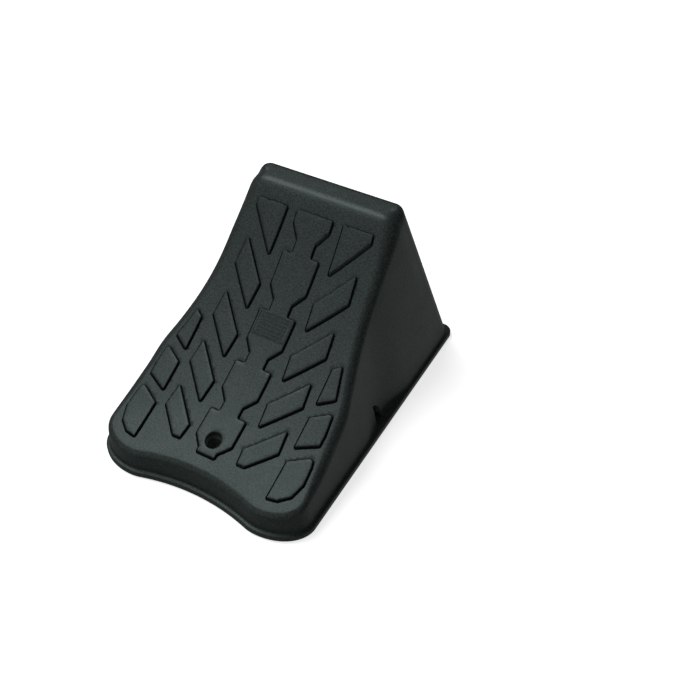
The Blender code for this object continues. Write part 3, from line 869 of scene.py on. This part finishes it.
def moulding():
    """The whole plastic moulding: outside, cavity, ribs, cups and openings."""
    body = outer_solid()
    combined(body, "DIFFERENCE", [inner_solid("cavity", WALL, -CUT_BELOW, 0.0)])
    added = [rib_lattice()]
    for x, y in foot_places().values():
        added.append(cylinder("foot_cup", x, y, CUP_RADIUS, CUP_LIFT, CUP_HEIGHT))
    for side in (-1, 1):
        added.append(side_box("slot_backing", side, BACKING_XS, BACKING_YS, RIB_LIFT, BACKING_HEIGHT))
    combined(body, "UNION", added)

    removed = [cylinder("toe_hole", 0, HOLE_Y, HOLE_RADIUS, -CUT_BELOW, HOLE_TOP, HOLE_CUT_STEPS)]
    for side in (-1, 1):
        removed.append(rope_scoop(side))
        removed.append(
            side_box("rope_passage", side, PASSAGE_XS, PASSAGE_YS, PASSAGE_FLOOR, PASSAGE_HEIGHT)
        )
    for x, y in foot_places().values():
        removed.append(cylinder("socket", x, y, SOCKET_RADIUS, -CUT_BELOW, SOCKET_DEPTH))
    return combined(body, "DIFFERENCE", removed)


def paint_crevice_shade(body):
    """Gives each point a painted shade by how deep it sits between the tread plates; the plastic paints it
    as darker colour and weaker sheen.
    """
    points = np.array([tuple(vert.co) for vert in body.data.vertices])
    foot, edge = foot_lines(FINE, 0, FLANGE_THICKNESS, top_z)
    crown = rounded_rings(foot, edge, 0.0, outer_reach, 1)[-1]
    lift = points[:, 2] - top_z(points[:, 1])
    depth = np.interp(lift, *PAINTED_SHADE_BY_LIFT)
    depth[~inside(points[:, :2], shifted(crown[:, :2], -CLEAR_OF_CROWN))] = 0
    body.data.attributes.new(PAINTED_SHADE_NAME, "FLOAT", "POINT").data.foreach_set("value", depth)


def grip_foot(node, name):
    """A turned rubber disc with a chamfered tread face, a ring groove and a dimple."""
    low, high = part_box(node)
    centre = (low + high) / 2
    radius = (high.x - low.x) / 2
    profile = [(r, low.z + z) for r, z in FOOT_TREAD]
    profile += [(radius - inset, low.z + z) for inset, z in FOOT_CHAMFER]
    profile += [(radius, high.z - FOOT_TOP_EDGE), (radius - FOOT_TOP_EDGE, high.z), (0, high.z)]
    verts = [(centre.x, centre.y, profile[0][1])]
    for r, z in profile[1:-1]:
        ring = ring_of((centre.x, centre.y), r, FOOT_STEPS)
        verts += [(x, y, z) for x, y in ring]
    verts.append((centre.x, centre.y, profile[-1][1]))
    levels = len(profile) - 2
    faces = []
    for index in range(FOOT_STEPS):
        after = (index + 1) % FOOT_STEPS
        faces.append((0, 1 + after, 1 + index))
        for level in range(levels - 1):
            at = 1 + level * FOOT_STEPS
            above = at + FOOT_STEPS
            faces.append((at + index, at + after, above + after, above + index))
        at = 1 + (levels - 1) * FOOT_STEPS
        faces.append((at + index, at + after, len(verts) - 1))
    return mesh_object(name, verts, faces)


def dressed(made, surface, sharp_angle):
    made.data.materials.clear()
    made.data.materials.append(surface)
    for polygon in made.data.polygons:
        polygon.material_index = 0
    made.data.shade_smooth()
    made.data.set_sharp_from_angle(angle=math.radians(sharp_angle))
    return made


class Nodes:
    """A short way to write a material's node tree."""

    def __init__(self, tree):
        self.tree = tree

    def add(self, kind, **values):
        node = self.tree.nodes.new(kind)
        for key, value in values.items():
            setattr(node, key, value)
        return node

    def link(self, source, target):
        self.tree.links.new(source, target)

    def noise(self, vector, scale, detail=2.0, roughness=0.5):
        node = self.add("ShaderNodeTexNoise")
        node.inputs["Scale"].default_value = scale
        node.inputs["Detail"].default_value = detail
        node.inputs["Roughness"].default_value = roughness
        self.link(vector, node.inputs["Vector"])
        return node.outputs["Fac"]

    def ramp(self, factor, stops):
        node = self.add("ShaderNodeValToRGB")
        elements = node.color_ramp.elements
        for number, (place, colour) in enumerate(stops):
            if number < 2:
                element = elements[number]
                element.position = place
            else:
                element = elements.new(place)
            element.color = (*colour, 1)
        self.link(factor, node.inputs["Fac"])
        return node.outputs["Color"]

    def spread(self, value, low, high, new_low, new_high):
        node = self.add("ShaderNodeMapRange")
        limits = {"From Min": low, "From Max": high, "To Min": new_low, "To Max": new_high}
        for socket, number in limits.items():
            node.inputs[socket].default_value = number
        self.link(value, node.inputs["Value"])
        return node.outputs["Result"]

    def math(self, operation, first, second=None):
        node = self.add("ShaderNodeMath", operation=operation)
        self.link(first, node.inputs[0])
        if isinstance(second, float):
            node.inputs[1].default_value = second
        elif second is not None:
            self.link(second, node.inputs[1])
        return node.outputs["Value"]

    def along(self, vector, direction):
        """How far a vector points along a direction."""
        node = self.add("ShaderNodeVectorMath", operation="DOT_PRODUCT")
        self.link(vector, node.inputs[0])
        node.inputs[1].default_value = Vector(direction).normalized()
        return node.outputs["Value"]

    def mix(self, factor, first, second, blend="MIX"):
        node = self.add("ShaderNodeMix", data_type="RGBA", blend_type=blend)
        if isinstance(factor, float):
            node.inputs["Factor"].default_value = factor
        else:
            self.link(factor, node.inputs["Factor"])
        self.link(first, node.inputs["A"])
        self.link(second, node.inputs["B"])
        return node.outputs["Result"]

    def bump(self, height, distance, strength, before=None):
        node = self.add("ShaderNodeBump")
        node.inputs["Strength"].default_value = strength
        node.inputs["Distance"].default_value = distance
        self.link(height, node.inputs["Height"])
        if before is not None:
            self.link(before, node.inputs["Normal"])
        return node.outputs["Normal"]


def new_material(name):
    surface = bpy.data.materials.new(name)
    surface.use_nodes = True
    shader = surface.node_tree.nodes["Principled BSDF"]
    return surface, Nodes(surface.node_tree), shader


def moulded_plastic():
    """Near-black moulded polypropylene with a faint cool cast and a fine matt grain, darkened by painted
    shade in the grooves round the tread plates and the toe hole's rim.
    """
    surface, nodes, shader = new_material("moulded_plastic_grained")
    place = nodes.add("ShaderNodeTexCoord").outputs["Object"]
    clouds = nodes.noise(place, 22.0, 4.0, 0.6)
    grain = nodes.noise(place, 900.0, 3.0, 0.65)
    peel = nodes.noise(place, 260.0, 2.0, 0.5)
    tone = nodes.ramp(clouds, ((0.3, (0.0165, 0.0200, 0.0186)), (0.7, (0.0205, 0.0248, 0.0232))))
    specks = nodes.ramp(grain, ((0.38, (0.25, 0.25, 0.25)), (0.64, (1.9, 1.9, 1.9))))
    colour = nodes.mix(1.0, tone, specks, "MULTIPLY")
    # Painted shade: the shade amount stored on the moulding's points darkens the colour and the sheen in
    # the grooves round the tread plates.
    painted_crevice_shade = nodes.add("ShaderNodeAttribute", attribute_name=PAINTED_SHADE_NAME).outputs["Fac"]
    painted_shade_factor = nodes.spread(painted_crevice_shade, 0, 1, 1, 0.12)
    colour = nodes.mix(1.0, colour, painted_shade_factor, "MULTIPLY")
    nodes.link(colour, shader.inputs["Base Color"])
    nodes.link(nodes.math("MULTIPLY", painted_shade_factor, 0.5), shader.inputs["Specular IOR Level"])
    nodes.link(nodes.spread(clouds, 0.3, 0.7, 0.42, 0.50), shader.inputs["Roughness"])
    shader.inputs["IOR"].default_value = 1.46
    shader.inputs["Specular Tint"].default_value = (0.80, 0.98, 1.0, 1)
    normal = nodes.bump(peel, 0.0002, 0.12)
    normal = nodes.bump(grain, 0.0002, 0.7, normal)
    nodes.link(normal, shader.inputs["Normal"])
    return surface


def foot_rubber():
    """Dull black rubber with a fine pitted skin."""
    surface, nodes, shader = new_material("foot_rubber_pitted")
    place = nodes.add("ShaderNodeTexCoord").outputs["Object"]
    clouds = nodes.noise(place, 90.0, 3.0, 0.6)
    pits = nodes.noise(place, 2200.0, 2.0, 0.5)
    tone = nodes.ramp(clouds, ((0.3, (0.010, 0.010, 0.010)), (0.7, (0.018, 0.018, 0.017))))
    nodes.link(tone, shader.inputs["Base Color"])
    nodes.link(nodes.spread(clouds, 0.3, 0.7, 0.78, 0.9), shader.inputs["Roughness"])
    shader.inputs["Specular IOR Level"].default_value = 0.35
    nodes.link(nodes.bump(pits, 0.0001, 0.5), shader.inputs["Normal"])
    return surface


def pale_floor():
    surface, nodes, shader = new_material("studio_floor")
    place = nodes.add("ShaderNodeTexCoord").outputs["Object"]
    paper = nodes.noise(place, 3.0, 2.0, 0.5)
    tone = nodes.ramp(paper, ((0.3, (0.86, 0.86, 0.86)), (0.7, (0.88, 0.88, 0.88))))
    nodes.link(tone, shader.inputs["Base Color"])
    shader.inputs["Roughness"].default_value = 0.9
    shader.inputs["Specular IOR Level"].default_value = 0.1
    spots = nodes.add("ShaderNodeSeparateXYZ")
    nodes.link(place, spots.inputs[0])
    beside = nodes.spread(nodes.math("ABSOLUTE", spots.outputs["X"]), *FLOOR_SHADE_X, 0, 1)
    beyond = nodes.spread(nodes.math("ABSOLUTE", spots.outputs["Y"]), *FLOOR_SHADE_Y, 0, 1)
    open_floor = nodes.math("MAXIMUM", beside, beyond)
    shader.inputs["Emission Color"].default_value = (1, 1, 1, 1)
    nodes.link(nodes.math("MULTIPLY", open_floor, FLOOR_GLOW), shader.inputs["Emission Strength"])
    return surface


def area_light(name, place, target, size, power):
    data = bpy.data.lights.new(name, "AREA")
    data.shape = "SQUARE"
    data.size = size
    data.energy = power
    lamp = bpy.data.objects.new(name, data)
    lamp.location = place
    lamp.rotation_euler = (Vector(target) - Vector(place)).to_track_quat("-Z", "Y").to_euler()
    bpy.context.scene.collection.objects.link(lamp)
    return lamp


def studio():
    size = FLOOR_SIZE
    corners = [(-size, -size, 0), (size, -size, 0), (size, size, 0), (-size, size, 0)]
    floor = mesh_object("studio_floor", corners, [(0, 1, 2, 3)])
    floor.data.materials.append(pale_floor())
    floor.visible_glossy = False
    floor.visible_diffuse = False
    area_light("overhead_softbox", SOFTBOX_PLACE, (0, 0, 0), SOFTBOX_SIZE, SOFTBOX_POWER)
    studio_world()
    bpy.context.scene.view_settings.view_transform = "Standard"


def studio_world():
    """Dim surroundings: an even ceiling with its brighter and darker parts, and a low glow on one side."""
    world = bpy.data.worlds.new("studio_world")
    world.use_nodes = True
    nodes = Nodes(world.node_tree)
    sky = nodes.add("ShaderNodeTexCoord").outputs["Generated"]
    height = nodes.along(sky, (0, 0, 1))
    upper = nodes.spread(height, 0, 1, CEILING_GLOW, CEILING_GLOW)
    for direction, start, change in CEILING_PARTS:
        part = nodes.spread(nodes.along(sky, direction), start, CEILING_PART_END, 0, change)
        upper = nodes.math("ADD", upper, part)
    lower = nodes.spread(nodes.along(sky, LOW_GLOW_SIDE), *LOW_GLOW_SPREAD, *LOW_GLOW)
    above = nodes.spread(height, *HORIZON, 0, 1)
    blend = nodes.add("ShaderNodeMix", data_type="FLOAT")
    nodes.link(above, blend.inputs["Factor"])
    nodes.link(lower, blend.inputs["A"])
    nodes.link(upper, blend.inputs["B"])
    background = world.node_tree.nodes["Background"]
    background.inputs["Color"].default_value = (0.95, 1.0, 0.95, 1)
    nodes.link(blend.outputs["Result"], background.inputs["Strength"])
    bpy.context.scene.world = world


def photograph_camera():
    data = bpy.data.cameras.new("chock_camera")
    data.sensor_width = 36
    data.lens = CAMERA_LENS
    camera = bpy.data.objects.new("chock_camera", data)
    back = -Vector(CAMERA_FORWARD).normalized()
    right = Vector(CAMERA_RIGHT)
    right = (right - back * right.dot(back)).normalized()
    up = back.cross(right)
    turn = Matrix((right, up, back)).transposed().to_4x4()
    camera.matrix_world = Matrix.Translation(CAMERA_PLACE) @ turn
    bpy.context.scene.collection.objects.link(camera)
    bpy.context.scene.camera = camera


photograph_camera()
studio()

plastic = moulded_plastic()
rubber = foot_rubber()

body = moulding()
# paints shade into the grooves round the tread plates and the toe hole's rim
paint_crevice_shade(body)
body.data.transform(Matrix.Translation(TOE_DATUM))
dressed(body, plastic, SHELL_SHARP)
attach(body, "root")
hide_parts("chock_shell")

for node in foot_places():
    foot = dressed(grip_foot(node, node.replace("grip_foot", "rubber_foot")), rubber, FOOT_SHARP)
    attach(foot, "root")
    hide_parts(node)
